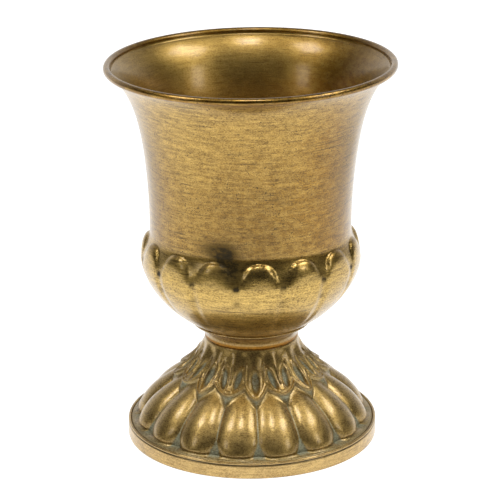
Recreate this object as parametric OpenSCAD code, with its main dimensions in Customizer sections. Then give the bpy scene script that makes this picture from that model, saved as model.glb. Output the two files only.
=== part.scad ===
// Goblet-shaped ciborium vessel: a flared, lobed metal cup with a rolled rim, on a domed foot
// with pressed gadroons. The cup, the neck ring and the foot are separate pressings, pulled
// together by one stud and nut inside the foot. The vessel stands on z = 0, centred on the Z axis.

/* [Overall] */
// Height from the table to the top of the rolled rim
total_h = 135; // [132:0.5:140]
// Outside diameter over the rolled rim
rim_d = 100; // [98:0.5:102]
// Outside diameter of the hoop that the foot stands on
base_d = 88; // [87:0.5:92]
// Thickness of the pressed sheet metal
sheet_t = 0.7; // [0.5:0.1:0.8]

/* [Cup] */
// Diameter of the bead rolled round the rim wire
bead_d = 2.5; // [2.4:0.1:3]
// Radius of the cup wall just above the lobes
waist_r = 35; // [34:0.25:36]
// Height where the wall starts to flare
waist_z = 79.5; // [78:0.5:82]
// Radius of the bowl over the crests of its lobes
bowl_r = 38.3; // [37.6:0.1:39]
// Height of the bowl's widest level
bowl_z = 66; // [65:0.5:67]

/* [Lobes] */
// Number of lobes round the bowl
lobe_count = 15; // [12:1:18]
// Depth of the creases between lobes
crease_depth = 0.5; // [0.2:0.1:1]
// Height of the rounded top of each lobe
lobe_top_z = 74.2; // [73:0.1:76]
// Angle of the first crease from the front, counted towards +X
crease_angle = -7.5; // [-12:0.5:12]

/* [Foot] */
// Height of the seat where the neck ring stands on the foot
seat_z = 36.4; // [36:0.1:37]
// Radius of the foot at its neck
neck_r = 16.4; // [16:0.1:17]
// Number of gadroons round the foot
gadroon_count = 16; // [12:1:20]
// Depth of the grooves between gadroons
groove_depth = 2; // [1:0.1:2.2]
// Angle of the first groove from the front, counted towards +X
groove_angle = 3.3; // [-11:0.1:11]
// Height of the plain hoop round the foot
hoop_h = 5.9; // [5.5:0.1:6.2]

/* [Fixings] */
// Diameter of the stud
stud_d = 6; // [5:0.5:6]
// Diameter of the clamp plate
plate_d = 26; // [22:1:27]

/* [Hidden] */

$fn = 96;
rim_r = rim_d / 2;
bead_r = bead_d / 2;
bead_axis_r = rim_r - bead_r;
bead_z = total_h - bead_r;
bore_r = bead_r - sheet_t;          // hollow of the rolled bead
wire_r = bore_r * cos(22.5) - 0.02; // rim wire, clear of the bead's facets

bowl_drop = bowl_z - seat_z;        // height of the bowl's curve
bowl_power = 1.74;                  // 2 would be an ellipse
shoulder_z = bowl_z - 0.5;          // the bowl starts to draw in to the waist
shoulder_h = 10.5;
arch_h = 6;                         // height of a lobe's rounded top
arch_half = 0.74;                   // half width of a lobe's dome, as a part of half its pitch
floor_z = seat_z + 2.5;             // underside of the cup's flat floor
flare_top_z = bead_z - 1.3;         // the flare ends here and turns up into the bead
wall_end_r = bead_axis_r - bore_r;  // outside of the sheet where it meets the bead
flare_end_r = wall_end_r - 0.3;

flange_r = 9;                       // stud flange, soldered under the floor
flange_t = 1.4;
ring_bore_r = flange_r + 0.6;
ring_waist_r = 16.45;               // the neck ring's narrowest radius
ring_lip_r = 20.8;                  // radius of its thin upper lip

crown_r = neck_r - 1.4;             // flat top of the foot, before its rounded edge
stud_hole_r = stud_d / 2 + 0.4;
dome_base_r = base_d / 2 - 2.8;     // where the foot's dome meets its flat ledge
dome_base_z = hoop_h + 0.4;
dome_mid = [27.4, 22.2];            // where the dome turns from convex to concave
gadroon_top_z = 23.9;
hoop_t = 1.1;
skirt_r = base_d / 2 - hoop_t;      // foot skirt, inside the hoop
skirt_z = 1.2;                      // the skirt stops short of the table

plate_t = 1.8;
washer_r = 6.2;
washer_t = 1.6;
nut_flats = 10;
nut_h = 5;
stud_end_z = 23;
plate_top_z = seat_z - sheet_t;
plate_z = plate_top_z - plate_t;
washer_z = plate_z - washer_t;
lock_z = washer_z - washer_t;
nut_z = lock_z - nut_h;

lobe_steps = 6;                     // facets across one lobe or gadroon
bowl_rows = 9;
shoulder_rows = 7;
wall_rows = 7;
curl_steps = 7;                     // steps of 45 degrees round the bead

gilt = "#b8924a";
dark_gilt = "#8f7038";
steel = "#9a9c9e";

function clamp01(x) = max(0, min(1, x));
function ease(x) = let(t = clamp01(x)) t * t * (3 - 2 * t);
function mix(a, b, t) = a + (b - a) * t;
function unit(v) = v / norm(v);

// Distance from the middle of a lobe: 0 on its crest, 1 in the crease.
function off_crest(angle, first, count) =
    let(turns = (angle - first) * count / 360)
    abs(2 * (turns - floor(turns)) - 1);

// Point of a cubic curve with four control points.
function curve(p, t) =
    pow(1 - t, 3) * p[0] + 3 * pow(1 - t, 2) * t * p[1]
    + 3 * (1 - t) * t * t * p[2] + pow(t, 3) * p[3];

// ---- Cup ----

// Radius of the bowl over its crests, from the floor to the widest level.
function bowl_curve(z) =
    let(drop = max(0, bowl_z - z) / bowl_drop)
    bowl_r * pow(1 - pow(drop, bowl_power), 1 / bowl_power);

// Radius of the plain wall: a slow flare, then a sharp one under the rim.
function wall_curve(z) =
    let(s = clamp01((z - waist_z) / (flare_top_z - waist_z)))
    let(flare = flare_end_r - waist_r)
    waist_r + flare * (0.46 * pow(s, 1.72) + 0.44 * pow(s, 5.1) + 0.1 * pow(s, 18));

// Radius of the cup between its lobes: the bowl, a smooth shoulder, and the wall.
function body_curve(z) =
    z > waist_z ? wall_curve(z)
    : mix(bowl_curve(z), waist_r, ease((z - shoulder_z) / shoulder_h));

// How far a point stands out on its lobe: 1 on the crest, 0 outside the lobe's rounded outline.
function lobe_rise(z, u) =
    let(up = max(0, z - lobe_top_z + arch_h) / arch_h)
    sqrt(clamp01(1 - pow(u / arch_half, 2.4) - pow(up, 2.4)));

// Radius of the cup's outside, with its lobes and the creases between them.
function cup_radius(z, angle) =
    let(u = off_crest(angle, crease_angle, lobe_count))
    let(crest = bowl_curve(z) - 0.013 * pow(max(0, z - bowl_z + 1), 2))
    let(bump = max(0, crest - body_curve(z)) * lobe_rise(z, u))
    let(crease = crease_depth * ease((z - 44) / 14) * ease((73 - z) / 10) * ease((u - 0.66) / 0.34))
    body_curve(z) + (z > waist_z ? 0 : bump - crease);

// Heights of the rings of points up the cup's wall.
cup_heights = concat(
    [for (k = [0:bowl_rows]) bowl_z - (bowl_z - floor_z) * cos(90 * k / bowl_rows)],
    [for (k = [1:shoulder_rows]) mix(bowl_z, waist_z, k / shoulder_rows)],
    [for (k = [1:wall_rows]) mix(waist_z, flare_top_z, 1 - pow(1 - k / wall_rows, 1.6))]
);

// A point of the cup's wall: depth 0 is the outside, and 1 is the inside, square across the sheet.
function wall_point(z, angle, depth) =
    let(dz = 0.2)
    let(out = unit([2 * dz, cup_radius(z - dz, angle) - cup_radius(z + dz, angle)]))
    [cup_radius(z, angle), z] - out * sheet_t * depth;

// The bead's section, from where the sheet meets it, over the top, and round to its free edge.
function bead_point(r, k) =
    let(a = 180 - 45 * k)
    [bead_axis_r + r * cos(a), bead_z + r * sin(a)];

// One closed outline of the cup's section: up the outside, round the bead, down the inside.
function cup_outline(angle) = concat(
    [for (z = cup_heights) wall_point(z, angle, 0)],
    [[flare_end_r + 0.2, flare_top_z + 0.6]],
    [for (k = [0:curl_steps]) bead_point(bore_r, k)],
    [for (k = [curl_steps:-1:0]) bead_point(bead_r, k)],
    [[bead_axis_r - bead_r, bead_z - 0.35]],
    [for (k = [len(cup_heights) - 1:-1:0]) wall_point(cup_heights[k], angle, 1)]
);

// ---- Foot ----

dome_low = [
    [dome_base_r, dome_base_z], [dome_base_r - 0.8, dome_base_z + 4.9],
    dome_mid + [6.2, -4], dome_mid
];
dome_high = [
    dome_mid, dome_mid + [-6.8, 4.6],
    [neck_r + 1.1, seat_z - 4.9], [neck_r, seat_z - 0.6]
];
dome_steps = concat([for (k = [0:9]) k / 9], [for (k = [1:6]) 1 + k / 6]);

// A point on the dome's profile: t = 0 at the ledge, 1 where the dome turns, and 2 at the neck.
function dome_profile(t) = t < 1 ? curve(dome_low, t) : curve(dome_high, t - 1);

// A point on the foot's dome with the gadroon relief, depth below the outside across the sheet.
function dome_point(t, angle, depth) =
    let(p = dome_profile(t), ahead = unit(dome_profile(t + 0.01) - dome_profile(t - 0.01)))
    let(out = [ahead[1], -ahead[0]])
    let(u = off_crest(angle, groove_angle, gadroon_count))
    let(relief = groove_depth * ease((p[1] - dome_base_z) / 1.6) * ease((gadroon_top_z - p[1]) / 3))
    p - out * (relief * u * u + sheet_t * depth);

// One closed outline of the foot's section: crown, neck, dome, ledge and skirt, and back inside.
function foot_outline(angle) = concat(
    [[stud_hole_r, seat_z], [crown_r, seat_z], [crown_r + 1, seat_z - 0.35]],
    [for (k = [len(dome_steps) - 1:-1:0]) dome_point(dome_steps[k], angle, 0)],
    [[skirt_r - 0.5, dome_base_z - 0.4], [skirt_r, dome_base_z - 1]],
    [[skirt_r, skirt_z], [skirt_r - sheet_t, skirt_z]],
    [[skirt_r - sheet_t, dome_base_z - 1.2], [dome_base_r - 0.4, dome_base_z - 1]],
    [for (k = [1:len(dome_steps) - 1]) dome_point(dome_steps[k], angle, 1)],
    [[crown_r, plate_top_z], [stud_hole_r, plate_top_z]]
);

// ---- Building blocks ----

// Faces between neighbouring outlines; wrap joins each outline's end to its start.
function skin_faces(count, size, wrap) = [
    for (i = [0:count - 1], j = [0:size - (wrap ? 1 : 2)])
    let(a = i * size + j, b = i * size + (j + 1) % size)
    let(next = ((i + 1) % count - i) * size)
    each [[a, b, b + next], [a, b + next, a + next]]
];

// A pressed shell: outlines of [radius, height] placed round the Z axis and joined by facets.
// An open outline starts and ends in flat discs, which close it on the axis.
module pressed_shell(angles, outlines, wrap) {
    size = len(outlines[0]);
    points = [
        for (i = [0:len(angles) - 1], p = outlines[i])
        [p[0] * sin(angles[i]), -p[0] * cos(angles[i]), p[1]]
    ];
    outer_disc = [for (i = [0:len(angles) - 1]) i * size];
    inner_disc = [for (i = [len(angles) - 1:-1:0]) i * size + size - 1];
    polyhedron(
        points,
        concat(skin_faces(len(angles), size, wrap), wrap ? [] : [outer_disc, inner_disc]),
        convexity = 8
    );
}

// Angles of the outlines: the same number of steps across every lobe.
function lobe_angles(first, count) =
    [for (i = [0:count * lobe_steps - 1]) first + i * 360 / (count * lobe_steps)];

// A flat ring standing on height z.
module ring(outer_r, inner_r, z, h) {
    translate([0, 0, z])
        difference() {
            cylinder(r = outer_r, h = h);
            translate([0, 0, -1]) cylinder(r = inner_r, h = h + 2);
        }
}

// ---- The pieces ----

// Flared cup with lobes round its bowl, and its rim rolled outwards over the wire.
module cup_shell() {
    angles = lobe_angles(crease_angle, lobe_count);
    color(gilt) pressed_shell(angles, [for (a = angles) cup_outline(a)], false);
}

// Wire that stiffens the rim, inside the rolled bead.
module rim_wire() {
    color(dark_gilt)
        rotate_extrude() translate([bead_axis_r, bead_z]) circle(r = wire_r, $fn = 32);
}

// Stud with a flange, soldered under the cup's floor.
module flanged_stud() {
    color(steel) {
        translate([0, 0, floor_z - flange_t]) cylinder(r = flange_r, h = flange_t);
        translate([0, 0, stud_end_z]) cylinder(d = stud_d, h = floor_z - flange_t - stud_end_z);
    }
}

// Concave ring between the foot and the bowl. Its top is shaped to the bowl that it carries.
module neck_ring() {
    hollow_r = 5.3;
    lip_z = seat_z + 0.4 + sqrt(pow(hollow_r, 2) - pow(ring_waist_r + hollow_r - ring_lip_r, 2));
    hollow = [
        for (k = [0:8])
        let(z = mix(seat_z + 0.4, lip_z, k / 8))
        [ring_waist_r + hollow_r - sqrt(pow(hollow_r, 2) - pow(z - seat_z - 0.4, 2)), z]
    ];
    seat = [
        for (k = [0:8])
        let(z = mix(lip_z + 0.7, floor_z, k / 8))
        [bowl_curve(z) + 0.05, z - 0.02]
    ];
    color(dark_gilt)
        rotate_extrude()
        polygon(concat(
            [[ring_bore_r, seat_z], [ring_waist_r, seat_z]], hollow, seat, [[ring_bore_r, floor_z - 0.02]]
        ));
}

// Domed foot: flat crown, narrow neck, gadroons, a flat ledge and a skirt inside the hoop.
module foot_shell() {
    angles = lobe_angles(groove_angle, gadroon_count);
    color(gilt) pressed_shell(angles, [for (a = angles) foot_outline(a)], true);
}

// Plain hoop round the foot's skirt, with a rounded bead along its top. The vessel stands on it.
module foot_hoop() {
    edge_r = hoop_t / 2;
    color(gilt)
        rotate_extrude() {
            polygon([
                [skirt_r, 0], [base_d / 2, 0],
                [base_d / 2 - 0.1, hoop_h - edge_r - 0.6], [skirt_r, hoop_h - edge_r - 0.6]
            ]);
            translate([skirt_r, hoop_h - edge_r - 0.6]) square([hoop_t - 0.25, 0.6]);
            translate([skirt_r + edge_r, hoop_h - edge_r]) circle(r = edge_r, $fn = 32);
        }
}

// Plate that spreads the nut's pull under the foot's crown.
module clamp_plate() {
    color(steel) ring(plate_d / 2, stud_d / 2 + 0.2, plate_z, plate_t);
}

module flat_washer() {
    color(steel) ring(washer_r, stud_d / 2 + 0.2, washer_z, washer_t);
}

// Spring washer: a ring cut through at one side.
module lock_washer() {
    color(steel)
        difference() {
            ring(washer_r - 0.7, stud_d / 2 + 0.1, lock_z, washer_t);
            translate([0, -0.6, lock_z - 1]) cube([washer_r * 2, 1.2, washer_t + 2]);
        }
}

module hex_nut() {
    color(steel)
        difference() {
            translate([0, 0, nut_z]) cylinder(d = nut_flats / cos(30), h = nut_h, $fn = 6);
            translate([0, 0, nut_z - 1]) cylinder(d = stud_d + 0.04, h = nut_h + 2);
        }
}

cup_shell();
rim_wire();
flanged_stud();
neck_ring();
foot_shell();
foot_hoop();
clamp_plate();
flat_washer();
lock_washer();
hex_nut();
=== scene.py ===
"""Looks of the ciborium vessel: the pressed cup, neck ring, foot and hoop as fine sheet-metal meshes with an
antique-gold finish, the fixings under the foot, and a pale studio. Shapes are worked out in millimetres."""
import math

import bpy
import numpy as np
from mathutils import Matrix, Vector


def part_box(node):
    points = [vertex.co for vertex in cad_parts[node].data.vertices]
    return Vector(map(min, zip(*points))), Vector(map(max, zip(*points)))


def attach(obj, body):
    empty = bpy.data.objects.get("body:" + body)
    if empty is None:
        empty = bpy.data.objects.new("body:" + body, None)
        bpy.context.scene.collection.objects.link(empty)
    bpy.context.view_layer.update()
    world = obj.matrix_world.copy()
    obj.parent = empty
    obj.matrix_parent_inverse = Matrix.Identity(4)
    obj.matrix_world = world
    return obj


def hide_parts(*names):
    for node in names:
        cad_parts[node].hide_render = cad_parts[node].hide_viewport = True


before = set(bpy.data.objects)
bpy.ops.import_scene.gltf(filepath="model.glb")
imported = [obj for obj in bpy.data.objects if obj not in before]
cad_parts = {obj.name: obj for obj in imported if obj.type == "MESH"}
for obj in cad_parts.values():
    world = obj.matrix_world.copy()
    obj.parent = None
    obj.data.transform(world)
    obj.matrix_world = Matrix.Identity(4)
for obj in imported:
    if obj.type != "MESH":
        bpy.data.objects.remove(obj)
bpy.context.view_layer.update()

MM = 0.001


def cad_box(node):
    """Lowest and highest corner of a CAD node, in millimetres."""
    low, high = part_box(node)
    return np.array(low) / MM, np.array(high) / MM


# ---------------------------------------------------------------- sizes, mm
# Sizes that the CAD boxes don't give repeat the part's own, but the leaf border's are only here.
cup_low, cup_high = cad_box("cup_shell")
foot_low, foot_high = cad_box("foot_shell")
_, hoop_high = cad_box("foot_hoop")
_, ring_high = cad_box("neck_ring")

TOTAL_H = cup_high[2]
RIM_R = max(cup_high[:2])
FLOOR_Z = cup_low[2]
SEAT_Z = foot_high[2]
HOOP_R = max(hoop_high[:2])
HOOP_H = hoop_high[2]
SKIRT_R = max(foot_high[:2])
SKIRT_Z = foot_low[2]
BEAD_R = 1.25
BEAD_Z = TOTAL_H - BEAD_R
BEAD_AXIS_R = RIM_R - BEAD_R
SHEET = 0.7

LOBES = 15
CREASE_ANGLE = -7.5
CREASE_DEPTH = 0.5
WAIST_R = 35.0
WAIST_Z = 79.5
BOWL_R = 38.3
BOWL_Z = 66.0
BOWL_POWER = 1.74
SHOULDER_Z = BOWL_Z - 0.5
SHOULDER_H = 10.5
LOBE_TOP_Z = 74.2
ARCH_H = 6.0
ARCH_HALF = 0.74
ARCH_POWER = 2.4
CREST_LEAN = 0.013
FLARE_TOP_Z = BEAD_Z - 1.3
FLARE_END_R = BEAD_AXIS_R - (BEAD_R - SHEET) - 0.3

GADROONS = 16
GROOVE_ANGLE = 3.3
GROOVE_DEPTH = 2.0
NECK_R = 16.4
CROWN_R = NECK_R - 1.4
STUD_HOLE_R = 3.4
RING_LIP_R = max(ring_high[:2])
DOME_BASE = np.array([HOOP_R - 2.8, HOOP_H + 0.4])
DOME_TOP = np.array([27.4, 22.2])
GADROON_TOP_Z = 23.9
WIDE_LEAF_ANGLE = -19.2
LEAF_PITCH = 45.0
LEAF_PEAK = 13.2


# ---------------------------------------------------------------- small maths
def clamp01(x):
    """x kept between 0 and 1."""
    return np.clip(x, 0.0, 1.0)


def ease(x):
    """A smooth step, 0 up to x = 0 and 1 from x = 1."""
    t = clamp01(x)
    return t * t * (3 - 2 * t)


def mix(a, b, t):
    """a at t = 0, b at t = 1."""
    return a + (b - a) * t


def off_crest(angle, first, count):
    """0 in the middle of a lobe, 1 in the crease beside it."""
    turns = (angle - first) * count / 360
    return np.abs(2 * (turns - np.floor(turns)) - 1)


def ridge(distance, half_width):
    """A rounded ridge, 1 on its line and 0 beyond half_width."""
    return clamp01(1 - (distance / half_width) ** 2) ** 2


def wobble(angle, z, seed, waves=5):
    """Slow unevenness of hand-finished sheet, about -1 to 1. It joins up round the Z axis."""
    rng = np.random.default_rng(seed)
    total = np.zeros(np.broadcast(angle, z).shape)
    for _ in range(waves):
        turns = rng.integers(2, 9)
        rise = rng.uniform(0.04, 0.24)
        total += np.sin(np.radians(angle) * turns + z * rise + rng.uniform(0, 2 * math.pi))
    return total / waves


# ---------------------------------------------------------------- meshes
def skin(name, radius, height, angles, closed, masks):
    """A mesh from outlines round the Z axis. radius and height are arrays, angle by row, and masks are
    per-vertex values for the materials. A closed outline joins its last row to its first. An open one is
    closed at both ends by a fan of triangles round a point on the axis."""
    n, m = radius.shape
    a = np.radians(angles)[:, None]
    points = np.stack([radius * np.sin(a), -radius * np.cos(a), height], axis=-1).reshape(-1, 3) * MM
    i, j = np.meshgrid(np.arange(n), np.arange(m if closed else m - 1), indexing="ij")
    here = i * m
    across = ((i + 1) % n) * m
    up = (j + 1) % m
    quads = np.stack([here + j, across + j, across + up, here + up], axis=-1).reshape(-1, 4)
    faces = quads.tolist()
    if not closed:
        centres = np.array([[0, 0, height[0, 0]], [0, 0, height[0, -1]]]) * MM
        points = np.vstack([points, centres])
        ring = np.arange(n)
        after = (ring + 1) % n
        low = np.stack([after * m, ring * m, np.full(n, n * m)], axis=-1)
        top = np.stack([ring * m + m - 1, after * m + m - 1, np.full(n, n * m + 1)], axis=-1)
        faces += low.tolist() + top.tolist()
    mesh = bpy.data.meshes.new(name)
    mesh.from_pydata(points.tolist(), [], faces)
    for mask, values in masks.items():
        flat = values.reshape(-1)
        if not closed:
            flat = np.concatenate([flat, values[0, [0, -1]]])
        mesh.attributes.new(mask, "FLOAT", "POINT").data.foreach_set("value", flat.astype(np.float32))
    mesh.polygons.foreach_set("use_smooth", [True] * len(faces))
    mesh.update()
    piece = bpy.data.objects.new(name, mesh)
    bpy.context.collection.objects.link(piece)
    return piece


def steps(count, first):
    """Evenly spaced angles of the outlines, in degrees, from the first one."""
    return first + np.arange(count) * 360 / count


def all_round(values, angles):
    """One outline's values repeated at every angle."""
    return np.tile(values, (len(angles), 1))


# ---------------------------------------------------------------- cup
def bowl_curve(z):
    """Radius of the bowl over the crests of its lobes."""
    drop = np.maximum(0, BOWL_Z - z) / (BOWL_Z - SEAT_Z)
    return BOWL_R * clamp01(1 - drop**BOWL_POWER) ** (1 / BOWL_POWER)


def wall_curve(z):
    """Radius of the flared wall, which curls out fastest at the rim."""
    s = clamp01((z - WAIST_Z) / (FLARE_TOP_Z - WAIST_Z))
    flare = FLARE_END_R - WAIST_R
    return WAIST_R + flare * (0.46 * s**1.72 + 0.44 * s**5.1 + 0.1 * s**18)


def cup_radius(z, angle):
    """Radius of the cup's outside: a smooth shoulder under the wall, and lobes on it with rounded tops."""
    u = off_crest(angle, CREASE_ANGLE, LOBES)
    shoulder = mix(bowl_curve(z), WAIST_R, ease((z - SHOULDER_Z) / SHOULDER_H))
    body = np.where(z < WAIST_Z, shoulder, wall_curve(z))
    up = clamp01((z - LOBE_TOP_Z + ARCH_H) / ARCH_H)
    lobe = clamp01(1 - (u / ARCH_HALF) ** ARCH_POWER - up**ARCH_POWER)
    crest = bowl_curve(z) - CREST_LEAN * np.maximum(0, z - BOWL_Z + 1) ** 2
    bump = np.maximum(0, crest - body) * np.sqrt(lobe) * ease(lobe / 0.12) * (z < WAIST_Z)
    crease_from = 44
    crease_to = 73
    fade = ease((z - crease_from) / 14) * ease((crease_to - z) / 10)
    crease = CREASE_DEPTH * fade * ease((u - 0.66) / 0.34)
    unevenness = 0.1 * wobble(angle, z, 3) * ease((z - crease_from) / 10)
    return body + bump - crease + unevenness


def settle(piece):
    """Hand spinning has left the rim a little high on one side and off the foot's axis."""
    count = len(piece.data.vertices)
    points = np.empty(count * 3, dtype=np.float32)
    piece.data.vertices.foreach_get("co", points)
    points = points.reshape(count, 3)
    still_below = 62
    tilt = 0.0085
    shift = 0.4 * MM
    up = ease((points[:, 2] / MM - still_below) / 70)
    points[:, 2] += tilt * points[:, 0] * up
    points[:, 0] += shift * up
    piece.data.vertices.foreach_set("co", points.reshape(-1))
    piece.data.update()
    return piece


def spot(angle, z, at_angle, at_z, wide, tall):
    """A soft round patch on the cup, 1 in its middle. Sizes are in degrees and millimetres."""
    turn = (angle - at_angle + 180) % 360 - 180
    return np.exp(-((turn / wide) ** 2) - ((z - at_z) / tall) ** 2)


def cup_painted_shade(angle, z):
    """Painted shade and reflection on the cup's outside: dark spots at the lower ends of the creases, dark
    reflections over the shoulder, and darker sides.
    """
    u = off_crest(angle, CREASE_ANGLE, LOBES)
    # painted shade in the dimpled lower ends of the creases
    crease_end_shade = (ridge(z - 66.2, 2.0) + 0.6 * ridge(z - 60.2, 1.2)) * ease((u - 0.8) / 0.12)
    # painted reflection of something dark, over the shoulder and the lobes' tops
    dark_reflection = spot(angle, z, -15, 76.5, 7, 4.5) + 0.4 * spot(angle, z, -24, 79, 8, 3)
    dark_reflection += 0.9 * spot(angle, z, -10, 72.0, 5, 4.5) + 0.6 * spot(angle, z, -34, 73.0, 6, 2.5)
    # painted shade on the left and right sides of the wall
    side_shade = 0.32 * spot(angle, z, 62, 108, 14, 26) + 0.22 * spot(angle, z, -66, 100, 12, 26)
    return clamp01(0.9 * crease_end_shade + dark_reflection + side_shade)


def cup_tarnish_and_shade(angle, z):
    """How browned the cup's outside is: most of it above the lobes, and more in a few broad patches. Part of
    it is painted shade, which darkens the wall towards its bottom. A broad patch on the left is browned less.
    """
    # painted shade: browning is heaviest just above the lobes and eases off up the wall
    wall = 0.78 * ease((z - 70) / 8) - 0.35 * ease((z - 85) / 45)
    wall -= 0.2 * spot(angle, z, -38, 105, 20, 40)
    patches = 0.4 * spot(angle, z, 45, 112, 18, 16) + 0.4 * spot(angle, z, 52, 84, 14, 14)
    return clamp01(wall + patches)


def make_cup():
    """The cup's sheet: up the outside, round the rolled bead, and down the inside."""
    angles = steps(LOBES * 26, CREASE_ANGLE)
    heights = np.concatenate([
        BOWL_Z - (BOWL_Z - FLOOR_Z) * np.cos(np.radians(np.linspace(0, 90, 40)[:-1])),
        np.linspace(BOWL_Z, WAIST_Z, 45)[:-1],
        mix(WAIST_Z, FLARE_TOP_Z, 1 - (1 - np.linspace(0, 1, 40)) ** 1.5),
    ])
    a, z = np.meshgrid(angles, heights, indexing="ij")
    r = cup_radius(z, a)
    dz = 0.1
    lean = (cup_radius(z - dz, a) - cup_radius(z + dz, a)) / (2 * dz)
    slope = np.sqrt(1 + lean**2)
    inner_r = r - SHEET / slope
    inner_z = z - SHEET * lean / slope

    def bead(radius, turn):
        ring_r = all_round(BEAD_AXIS_R + radius * np.cos(turn), angles)
        ring_z = all_round(BEAD_Z + radius * np.sin(turn), angles)
        return ring_r, ring_z

    turn = np.radians(np.linspace(180, -135, 22))
    hollow_r, hollow_z = bead(BEAD_R - SHEET, turn[::3])
    bead_r, bead_z = bead(BEAD_R, turn[::-1])
    curl_r = all_round([FLARE_END_R + 0.2], angles)
    curl_z = all_round([FLARE_TOP_Z + 0.6], angles)
    lip_r = all_round([BEAD_AXIS_R - BEAD_R], angles)
    lip_z = all_round([BEAD_Z - 0.35], angles)
    downwards = slice(None, None, -1)
    radius = np.hstack([r, curl_r, hollow_r, bead_r, lip_r, inner_r[:, downwards]])
    height = np.hstack([z, curl_z, hollow_z, bead_z, lip_z, inner_z[:, downwards]])

    wall = z.shape[1]
    bead_from = wall + 1 + hollow_r.shape[1]
    bead_to = bead_from + bead_r.shape[1]
    patina_and_painted_shade = np.zeros_like(radius)
    # the cup's outside gets painted shade and reflection in this mask
    patina_and_painted_shade[:, :wall] = cup_painted_shade(a, z)
    # painted shade on the inside: browned a little all over, and more on the right-hand side of the back wall
    tarnish_and_painted_shade = np.full_like(radius, 0.3)
    tarnish_and_painted_shade[:, -wall:] += 0.6 * spot(a, z[:, downwards], 125, 115, 40, 50)
    tarnish_and_painted_shade[:, :wall] = cup_tarnish_and_shade(a, z)
    tarnish_and_painted_shade[:, bead_from:bead_to] = 0.9
    inside = np.zeros_like(radius)
    inside[:, bead_to - 4:] = 1
    masks = {"patina_and_painted_shade": patina_and_painted_shade, "tarnish_and_painted_shade": tarnish_and_painted_shade, "inside": inside}
    return skin("cup", radius, height, angles, False, masks)


# ---------------------------------------------------------------- foot
DOME_LOW = np.array([DOME_BASE, DOME_BASE + [-0.84, 4.85], [33.6, 18.2], DOME_TOP])
DOME_HIGH = np.array([DOME_TOP, [20.6, 26.8], [NECK_R + 1.1, 31.5], [NECK_R, SEAT_Z - 0.6]])


def cubic(p, t):
    """Points of a cubic Bezier curve with control points p."""
    t = np.asarray(t)[:, None]
    return (1 - t) ** 3 * p[0] + 3 * (1 - t) ** 2 * t * p[1] + 3 * (1 - t) * t**2 * p[2] + t**3 * p[3]


def dome_points(count):
    """Points down the foot's profile, from neck to ledge, and the unit normals that point out of it."""
    t = np.linspace(1, 0, count)
    points = np.vstack([cubic(DOME_HIGH, t)[:-1], cubic(DOME_LOW, t)])
    ahead = np.gradient(points, axis=0)
    ahead /= np.linalg.norm(ahead, axis=1)[:, None]
    return points, np.stack([-ahead[:, 1], ahead[:, 0]], axis=1)


def gadroons(angle, z):
    """Relief of the gadroons, 0 on their crests, and how much a point is groove or ground."""
    u = off_crest(angle, GROOVE_ANGLE, GADROONS)
    half = mix(0.78, 1.0, ease((z - 6.0) / 6.5))
    w = clamp01(u / half)
    crown = 1 - 0.85 * w**2 - 0.15 * w**10 - 0.4 * ease((z - 14) / 10)
    low_end = np.sqrt(clamp01(1 - clamp01((7.2 - z) / 0.9) ** 2))
    top_end = ease((GADROON_TOP_Z - 2.0 * u**2 - z) / 1.6)
    body = crown * mix(0.8, 1.0, low_end)
    groove = ease((u - half + 0.05) / 0.05)
    return mix(-0.8, GROOVE_DEPTH * (body - 1), top_end), groove * top_end


def leaf_border(angle, z, radius):
    """Relief of the leaf border: festoon outlines that meet in peaks, flutes, ribs and bars between them,
    and shallow flutes up the neck. Also how much a point is patina, and how much it is leaf."""
    turn = (angle - WIDE_LEAF_ANGLE + LEAF_PITCH / 2) % LEAF_PITCH - LEAF_PITCH / 2
    a = np.abs(turn)
    b = LEAF_PITCH / 2 - a
    per_degree = np.radians(radius)
    slant = 1.5
    wide = a < LEAF_PEAK
    half = np.where(wide, LEAF_PEAK, LEAF_PITCH / 2 - LEAF_PEAK)
    offset = np.where(wide, a, b)
    peak_z = 25.2
    tip_z = np.where(wide, 22.9, 22.2)
    rise = peak_z - tip_z
    power = 1.8
    edge_z = tip_z + rise * (offset / half) ** power
    edge_slope = rise * power * (offset / half) ** (power - 1) / half * slant / per_degree
    above = (z - edge_z) * slant / np.sqrt(1 + edge_slope**2)
    outline = ridge(above, 0.5) + 0.6 * ridge(above - 1.2, 0.42)

    def oval(centre, centre_z, half_w, half_h, tilt):
        across = (offset - centre) * per_degree
        along = (z - centre_z) * slant
        return np.sqrt(((across - tilt * along) / half_w) ** 2 + (along / half_h) ** 2)

    wide_oval = oval(6.6, 27.0, 1.1, 4.4, 0.16)
    narrow_oval = oval(0.0, 26.6, 1.4, 4.6, 0.0)
    q = np.where(wide, wide_oval, narrow_oval)
    flute = ease((1.05 - q) / 0.5)
    flute_rim = ridge(q - 1.25, 0.3)
    rib = ridge(a * per_degree, 0.6) * ease((z - 25.0) / 1.0) * ease((31.5 - z) / 2.0)
    bar = ridge((a - LEAF_PEAK) * per_degree, 0.5) * ease((z - 26.0) / 1.0) * ease((32.6 - z) / 1.6)
    inside = ease(above / 0.4) * ease((31.8 - z) / 2.5)
    relief = 0.4 * np.maximum.reduce([outline, 0.7 * flute_rim * inside, rib, 1.1 * bar])
    relief = relief * ease((33 - z) / 2) - 0.6 * flute * inside
    neck = np.cos(np.radians(turn * 720 / LEAF_PITCH)) * ease((z - 28) / 3) * ease((35.5 - z) / 2.5)
    relief = relief + 0.28 * neck
    below = ease(-above / 0.45)
    patina = np.maximum(flute * inside, 0.5 * below)
    return relief - 0.5 * below, patina, ease((above + 0.5) / 0.4)


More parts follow.
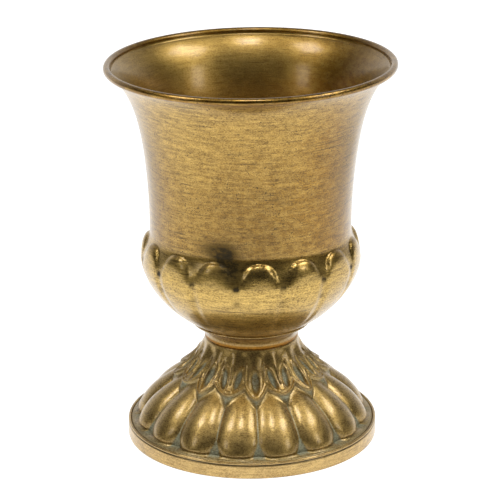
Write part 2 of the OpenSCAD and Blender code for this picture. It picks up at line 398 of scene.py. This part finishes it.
def make_foot():
    """The foot's sheet: crown, neck, leaf border, gadroons, ledge and skirt, and back inside."""
    angles = steps(GADROONS * 36, GROOVE_ANGLE)
    profile, normal = dome_points(130)
    profile_r, profile_z = profile.T
    a = angles[:, None]
    z = np.broadcast_to(profile_z, (len(angles), len(profile)))
    gadroon_relief, groove = gadroons(a, z)
    leaf_relief, patina, leaf = leaf_border(a, z, profile_r)
    u = off_crest(a, GROOVE_ANGLE, GADROONS)
    ground = (1 - ease((GADROON_TOP_Z - 2.0 * u**2 - z) / 1.3)) * mix(0.15, 0.9, ease((u - 0.35) / 0.5))
    relief = mix(gadroon_relief, leaf_relief, leaf)
    patina_and_painted_shade = mix(np.maximum(groove, ground), patina, leaf)
    relief = relief + 0.06 * wobble(a, z, 8)
    r = profile_r + normal[:, 0] * relief
    h = z + normal[:, 1] * relief
    inner_r = profile_r + normal[:, 0] * (relief - SHEET)
    inner_h = z + normal[:, 1] * (relief - SHEET)
    upwards = slice(None, None, -5)

    corner = np.radians(np.linspace(90, 10, 7))
    crown_r = np.concatenate([[STUD_HOLE_R], CROWN_R + 1.3 * np.cos(corner)])
    crown_z = np.concatenate([[SEAT_Z], SEAT_Z - 0.5 + 0.5 * np.sin(corner)])
    dome_r, dome_z = DOME_BASE
    skirt_in = SKIRT_R - SHEET
    ledge_r = [SKIRT_R - 0.5, SKIRT_R - 0.15, SKIRT_R, SKIRT_R, skirt_in, skirt_in, dome_r - 0.4]
    ledge_z = [dome_z - 0.35, dome_z - 0.6, dome_z - 1, SKIRT_Z, SKIRT_Z, dome_z - 1.3, dome_z - 1]
    under_r = [CROWN_R, STUD_HOLE_R]
    under_z = [SEAT_Z - SHEET, SEAT_Z - SHEET]
    radius = np.hstack([
        all_round(crown_r, angles), r, all_round(ledge_r, angles), inner_r[:, upwards],
        all_round(under_r, angles)
    ])
    height = np.hstack([
        all_round(crown_z, angles), h, all_round(ledge_z, angles), inner_h[:, upwards],
        all_round(under_z, angles)
    ])
    dome_from = len(crown_r)
    dome_to = dome_from + len(profile)
    mask = np.zeros_like(radius)
    mask[:, dome_from:dome_to] = patina_and_painted_shade
    mask[:, dome_to:dome_to + 3] = 0.35
    return skin("foot", radius, height, angles, True, {"patina_and_painted_shade": mask, "inside": np.zeros_like(radius)})


# ---------------------------------------------------------------- ring and hoop
def make_ring():
    """The concave neck ring, with a softened lip."""
    angles = steps(240, 0)
    hollow_r = 5.3
    waist_r = 16.45
    bore_r = 9.6
    lip_h = 0.68
    top_z = FLOOR_Z - 0.02
    base = SEAT_Z + 0.4
    lip_z = base + math.sqrt(hollow_r**2 - (waist_r + hollow_r - RING_LIP_R) ** 2)
    z = np.linspace(base, lip_z, 24)
    hollow = waist_r + hollow_r - np.sqrt(hollow_r**2 - (z - base) ** 2)
    seat_z = np.linspace(lip_z + lip_h, top_z, 16)
    r = np.concatenate([[bore_r, waist_r - 0.2, waist_r], hollow, bowl_curve(seat_z) + 0.05, [bore_r]])
    h = np.concatenate([[SEAT_Z, SEAT_Z, SEAT_Z + 0.2], z, seat_z, [top_z]])
    radius = all_round(r, angles)
    masks = {
        "patina_and_painted_shade": all_round(ease((SEAT_Z + 1.4 - h) / 0.8), angles),
        "inside": np.zeros_like(radius),
    }
    return skin("ring", radius, all_round(h, angles), angles, True, masks)


def make_hoop():
    """The plain hoop round the foot, with its rounded bead and a slightly uneven face."""
    angles = steps(480, 0)
    inner = SKIRT_R + 0.02
    edge = (HOOP_R - SKIRT_R) / 2
    turn = np.radians(np.linspace(-20, 180, 16))
    bead_z = HOOP_H - edge
    face_z = np.linspace(0.5, bead_z - 0.75, 14)
    face_r = np.full(14, HOOP_R) - 0.02 * (face_z - 0.5)
    r = np.concatenate([
        [inner, HOOP_R - 0.5, HOOP_R - 0.12], face_r, [HOOP_R - 0.33, HOOP_R - 0.38],
        inner + edge - 0.02 + (edge - 0.05) * np.cos(turn), [inner]
    ])
    h = np.concatenate([
        [0, 0, 0.14], face_z, [bead_z - 0.55, bead_z - 0.4], bead_z + edge * np.sin(turn), [bead_z - 0.5]
    ])
    a = angles[:, None]
    radius = r + 0.06 * wobble(a, h, 5) * ((h > 0.2) & (h < bead_z - 0.6) & (r > inner + 0.3))
    seam = np.exp(-(((h - bead_z + 0.45) / 0.25) ** 2)) * (r > inner + 0.3)
    low = clamp01((0.5 - h) / 0.5)
    masks = {
        "patina_and_painted_shade": all_round(np.maximum(seam, 0.5 * low), angles),
        "inside": np.zeros_like(radius),
    }
    return skin("hoop", radius, all_round(h, angles), angles, True, masks)


# ---------------------------------------------------------------- materials
def add(tree, kind, **settings):
    """A new node with settings: attributes by name, and inputs as in_0, in_Scale and so on."""
    node = tree.nodes.new(kind)
    for key, value in settings.items():
        if key.startswith("in_"):
            name = key[3:].replace("_", " ")
            node.inputs[int(name) if name.isdigit() else name].default_value = value
        else:
            setattr(node, key, value)
    return node


def maths(tree, operation, a, b=0.0, clamp=False):
    """A Math node; a and b are numbers or sockets."""
    node = add(tree, "ShaderNodeMath", operation=operation, use_clamp=clamp)
    for socket, value in zip(node.inputs, (a, b)):
        if isinstance(value, (int, float)):
            socket.default_value = value
        else:
            tree.links.new(value, socket)
    return node.outputs[0]


def span(tree, value, low, high, to_low=0.0, to_high=1.0):
    """value from low..high eased onto to_low..to_high."""
    node = add(tree, "ShaderNodeMapRange", interpolation_type="SMOOTHSTEP")
    tree.links.new(value, node.inputs["Value"])
    for name, number in (("From Min", low), ("From Max", high), ("To Min", to_low), ("To Max", to_high)):
        node.inputs[name].default_value = number
    return node.outputs["Result"]


def blend(tree, factor, a, b, mode="MIX"):
    """A colour mix; a and b are colours or sockets."""
    node = add(tree, "ShaderNodeMix", data_type="RGBA", blend_type=mode)
    sockets = [node.inputs[0], node.inputs[6], node.inputs[7]]
    for socket, value in zip(sockets, (factor, a, b)):
        if isinstance(value, (int, float)):
            socket.default_value = value
        elif isinstance(value, tuple):
            socket.default_value = (*value, 1.0)
        else:
            tree.links.new(value, socket)
    return node.outputs[2]


def shade(colour, factor):
    """A darker version of a colour."""
    return tuple(c * factor for c in colour)


def stretched(tree, round_scale, up_scale):
    """Object coordinates stretched so that a noise runs in streaks round the Z axis."""
    coords = add(tree, "ShaderNodeTexCoord")
    mapping = add(tree, "ShaderNodeMapping", in_Scale=(round_scale, round_scale, up_scale))
    tree.links.new(coords.outputs["Object"], mapping.inputs["Vector"])
    return mapping.outputs["Vector"]


def noise(tree, vector, scale=1.0, detail=4.0, rough=0.55):
    """A noise over stretched coordinates."""
    node = add(tree, "ShaderNodeTexNoise", in_Scale=scale, in_Detail=detail, in_Roughness=rough)
    tree.links.new(vector, node.inputs["Vector"])
    return node.outputs["Fac"]


# brown tint of tarnish, also used for painted shade
TARNISH_AND_SHADE_TINT = (0.57, 0.45, 0.18)


def antique_gold(name, light, dark, brushed, gloss, patina, dull=0.25, grain=0.8):
    """Gold-coloured metal under a thin lacquer: brushed grain, worn blotches, dark specks, and patina in the
    recesses, which on the cup is painted shade and reflection instead. dull is how metallic the patina still
    looks. grain is the strength of the finest mottling."""
    material = bpy.data.materials.new(name)
    material.use_nodes = True
    tree = material.node_tree
    shader = tree.nodes["Principled BSDF"]
    even = stretched(tree, 1.0, 1.0)
    streaks = noise(tree, stretched(tree, 160.0, 1500.0), detail=4)
    clouds = noise(tree, even, 75.0, 5, 0.6)
    blotches = noise(tree, stretched(tree, 330.0, 520.0), detail=5, rough=0.65)
    fine = noise(tree, stretched(tree, 1500.0, 2800.0), detail=3, rough=0.6)
    scratches = noise(tree, stretched(tree, 60.0, 2600.0), detail=2, rough=0.4)
    patina_and_painted_shade = add(tree, "ShaderNodeAttribute", attribute_name="patina_and_painted_shade").outputs["Fac"]
    inside = add(tree, "ShaderNodeAttribute", attribute_name="inside").outputs["Fac"]
    tarnish_and_painted_shade = add(tree, "ShaderNodeAttribute", attribute_name="tarnish_and_painted_shade").outputs["Fac"]

    # the mix of light and dark metal
    tone = maths(tree, "MULTIPLY", span(tree, streaks, 0.38, 0.62), brushed)
    tone = maths(tree, "ADD", tone, maths(tree, "MULTIPLY", span(tree, clouds, 0.38, 0.62), 0.3))
    tone = maths(tree, "ADD", tone, maths(tree, "MULTIPLY", span(tree, blotches, 0.4, 0.6), 0.3))
    tone = maths(tree, "ADD", tone, maths(tree, "MULTIPLY", span(tree, fine, 0.4, 0.6), grain))
    tone = maths(tree, "DIVIDE", tone, 0.6 + grain + brushed, clamp=True)
    colour = blend(tree, tone, dark, light)

    # dark specks and scratches
    speck_patches = span(tree, clouds, 0.42, 0.62, 0.3, 0.9)
    specks = maths(tree, "MULTIPLY", span(tree, fine, 0.56, 0.64), speck_patches)
    specks = maths(tree, "MULTIPLY", specks, span(tree, tarnish_and_painted_shade, 0.0, 0.6, 0.7, 1.6), clamp=True)
    colour = blend(tree, specks, colour, shade(dark, 0.35))
    scratch_patches = span(tree, clouds, 0.46, 0.58, 0.1, 0.8)
    marks = maths(tree, "MULTIPLY", span(tree, scratches, 0.6, 0.66), scratch_patches)
    marks = maths(tree, "MULTIPLY", marks, 1.5 * brushed, clamp=True)
    colour = blend(tree, marks, colour, shade(dark, 0.4))

    # the inside painted darker as shade, browning that is partly painted shade, and patina, which on the cup
    # is painted shade and reflection
    # painted shade: the inside of the cup is painted darker
    inside_shade = tuple(0.34 * a + 0.66 * b for a, b in zip(light, dark))
    colour = blend(tree, maths(tree, "MULTIPLY", inside, 0.55), colour, inside_shade)
    # browning: real tarnish, and painted shade low on the wall and inside the cup
    browned_and_shaded = maths(tree, "MULTIPLY", tarnish_and_painted_shade, span(tree, blotches, 0.35, 0.65, 1.2, 0.8), clamp=True)
    colour = blend(tree, browned_and_shaded, colour, TARNISH_AND_SHADE_TINT, "MULTIPLY")
    uneven = span(tree, blotches, 0.35, 0.65, 0.3, 0.9)
    uneven = maths(tree, "ADD", uneven, span(tree, fine, 0.4, 0.6, 0.2, 0.6))
    # this cover is painted shade and reflection on the cup, and patina, rust and grime on the other pieces
    patina_and_shade_cover = maths(tree, "MULTIPLY", patina_and_painted_shade, uneven, clamp=True)
    patina_and_shade_colour = blend(tree, span(tree, fine, 0.35, 0.65), shade(patina, 0.55), patina)
    colour = blend(tree, patina_and_shade_cover, colour, patina_and_shade_colour)
    tree.links.new(colour, shader.inputs["Base Color"])

    rough = maths(tree, "ADD", gloss, maths(tree, "MULTIPLY", span(tree, clouds, 0.3, 0.7), 0.06))
    rough = maths(tree, "ADD", rough, maths(tree, "MULTIPLY", patina_and_shade_cover, 0.25))
    rough = maths(tree, "ADD", rough, maths(tree, "MULTIPLY", inside, 0.07))
    tree.links.new(rough, shader.inputs["Roughness"])
    tree.links.new(span(tree, patina_and_shade_cover, 0.2, 1.0, 1.0, dull), shader.inputs["Metallic"])
    tree.links.new(span(tree, patina_and_shade_cover, 0.0, 0.8, 0.65, 0.1), shader.inputs["Coat Weight"])
    shader.inputs["Coat Roughness"].default_value = 0.18

    relief = maths(tree, "ADD", maths(tree, "MULTIPLY", streaks, brushed), maths(tree, "MULTIPLY", fine, 0.8))
    bump = add(tree, "ShaderNodeBump", in_Strength=0.5, in_Distance=0.0001)
    tree.links.new(relief, bump.inputs["Height"])
    tree.links.new(bump.outputs["Normal"], shader.inputs["Normal"])
    return material


def plated_steel(name):
    """Zinc-plated steel with a faint crystalline mottling."""
    material = bpy.data.materials.new(name)
    material.use_nodes = True
    tree = material.node_tree
    shader = tree.nodes["Principled BSDF"]
    even = stretched(tree, 1.0, 1.0)
    mottle = noise(tree, even, 420.0, 5, 0.6)
    fine = noise(tree, even, 2500.0, 3, 0.6)
    colour = blend(tree, span(tree, mottle, 0.35, 0.65), (0.42, 0.42, 0.41), (0.62, 0.61, 0.58))
    tree.links.new(colour, shader.inputs["Base Color"])
    tree.links.new(span(tree, mottle, 0.3, 0.7, 0.28, 0.45), shader.inputs["Roughness"])
    shader.inputs["Metallic"].default_value = 1.0
    bump = add(tree, "ShaderNodeBump", in_Strength=0.2, in_Distance=0.00005)
    tree.links.new(fine, bump.inputs["Height"])
    tree.links.new(bump.outputs["Normal"], shader.inputs["Normal"])
    return material


# ---------------------------------------------------------------- pieces
def place(piece, node, material):
    """Gives a piece its material, and puts it in a CAD node's place on the one body."""
    piece.data.materials.append(material)
    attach(piece, "root")
    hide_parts(node)


GOLD = (0.83, 0.56, 0.155)
BROWN = (0.17, 0.10, 0.018)
GREY = (0.37, 0.36, 0.23)
# dark colour of the painted shade and reflection on the cup
PAINTED_SHADE_DARK = (0.05, 0.035, 0.012)
RUST = (0.42, 0.19, 0.02)
GRIME = (0.08, 0.06, 0.03)
# on the cup the patina colour is painted shade and reflection
cup_gold = antique_gold(
    "cup_gold", GOLD, BROWN, brushed=0.6, gloss=0.27, patina=PAINTED_SHADE_DARK, dull=0.9, grain=1.3
)
foot_gold = antique_gold(
    "foot_gold", (0.62, 0.42, 0.13), (0.17, 0.10, 0.026), brushed=0.1, gloss=0.35, patina=GREY,
    dull=0.7, grain=1.0
)
ring_gold = antique_gold(
    "ring_gold", (0.50, 0.34, 0.11), (0.16, 0.085, 0.02), brushed=0.2, gloss=0.26, patina=RUST, dull=1.0
)
hoop_gold = antique_gold(
    "hoop_gold", (0.78, 0.54, 0.20), (0.24, 0.14, 0.04), brushed=0.4, gloss=0.32, patina=GRIME
)
steel = plated_steel("zinc_steel")

place(settle(make_cup()), "cup_shell", cup_gold)
place(make_foot(), "foot_shell", foot_gold)
place(make_ring(), "neck_ring", ring_gold)
place(make_hoop(), "foot_hoop", hoop_gold)

for node in ("rim_wire", "flanged_stud", "clamp_plate", "flat_washer", "lock_washer", "hex_nut"):
    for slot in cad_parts[node].material_slots:
        slot.material = steel


# ---------------------------------------------------------------- studio
def flat_floor():
    """A plain white table top that glows a little, so that it stays pale under the vessel. It ends a little
    way in front of the vessel. A pale floor carries on from there, and isn't mirrored in the metal."""
    material = bpy.data.materials.new("table_white")
    material.use_nodes = True
    shader = material.node_tree.nodes["Principled BSDF"]
    shader.inputs["Base Color"].default_value = (0.5, 0.5, 0.5, 1)
    shader.inputs["Roughness"].default_value = 0.9
    shader.inputs["Emission Color"].default_value = (1, 1, 1, 1)
    shader.inputs["Emission Strength"].default_value = 0.92
    size = 3.0
    edge = -0.32
    for name, near, far in (("table", edge, size), ("room_floor", -size, edge)):
        mesh = bpy.data.meshes.new(name)
        corners = [(-size, near, 0), (size, near, 0), (size, far, 0), (-size, far, 0)]
        mesh.from_pydata(corners, [], [(0, 1, 2, 3)])
        mesh.materials.append(material)
        floor = bpy.data.objects.new(name, mesh)
        floor.visible_glossy = name == "table"
        bpy.context.collection.objects.link(floor)


def softbox(name, direction, distance, size, power, target=(0, 0, 0.06)):
    """An area lamp that faces the vessel from a direction."""
    lamp = bpy.data.lights.new(name, "AREA")
    lamp.shape = "RECTANGLE"
    lamp.size, lamp.size_y = size
    lamp.energy = power
    position = Vector(target) + Vector(direction).normalized() * distance
    obj = bpy.data.objects.new(name, lamp)
    obj.location = position
    obj.rotation_euler = (Vector(target) - position).to_track_quat("-Z", "Y").to_euler()
    bpy.context.collection.objects.link(obj)


def studio_world():
    """White behind the vessel, dark on the camera's side of the room, and a dim glow overhead."""
    world = bpy.data.worlds.new("studio")
    bpy.context.scene.world = world
    world.use_nodes = True
    tree = world.node_tree
    coords = add(tree, "ShaderNodeTexCoord")
    parts = add(tree, "ShaderNodeSeparateXYZ")
    tree.links.new(coords.outputs["Generated"], parts.inputs[0])
    up = parts.outputs["Z"]
    behind = maths(tree, "MULTIPLY", span(tree, parts.outputs["Y"], 0.1, 0.8), 0.8)
    behind = maths(tree, "MULTIPLY", behind, span(tree, up, 0.3, 0.8, 1.0, 0.1))
    glow = span(tree, up, 0.45, 0.85, 0.04, 0.28)
    glow = maths(tree, "MULTIPLY", glow, span(tree, up, 0.93, 1.0, 1.0, 0.5))
    strength = maths(tree, "ADD", behind, glow)
    background = tree.nodes["Background"]
    background.inputs["Color"].default_value = (1.0, 0.99, 0.97, 1)
    tree.links.new(strength, background.inputs["Strength"])


def camera():
    """Long lens from the front, looking down on the vessel."""
    pitch = math.radians(18.973)
    roll = math.radians(-0.43)
    data = bpy.data.cameras.new("camera")
    data.sensor_width = 36
    data.lens = 166.51
    data.shift_x = -0.00146
    data.clip_start = 0.05
    obj = bpy.data.objects.new("camera", data)
    obj.location = (0, -0.7614, 0.3290)
    view = Matrix.Rotation(math.pi / 2 - pitch, 4, "X") @ Matrix.Rotation(roll, 4, "Z")
    obj.rotation_euler = view.to_euler()
    bpy.context.collection.objects.link(obj)
    bpy.context.scene.camera = obj


flat_floor()
softbox("softbox_left", (-0.56, -0.16, 0.81), 0.95, (0.24, 0.24), 1.9)
softbox("softbox_right", (0.60, -0.14, 0.79), 0.95, (0.42, 0.24), 2.5)
softbox("softbox_top", (0, -0.31, 0.95), 0.95, (0.18, 0.22), 1.8)
softbox("panel_left", (-0.76, -0.50, 0.42), 1.0, (0.2, 0.3), 0.6)
softbox("panel_right", (0.76, -0.50, 0.42), 1.0, (0.2, 0.3), 0.8)
studio_world()
camera()
bpy.context.scene.view_settings.view_transform = "Standard"
bpy.context.scene.view_settings.look = "None"
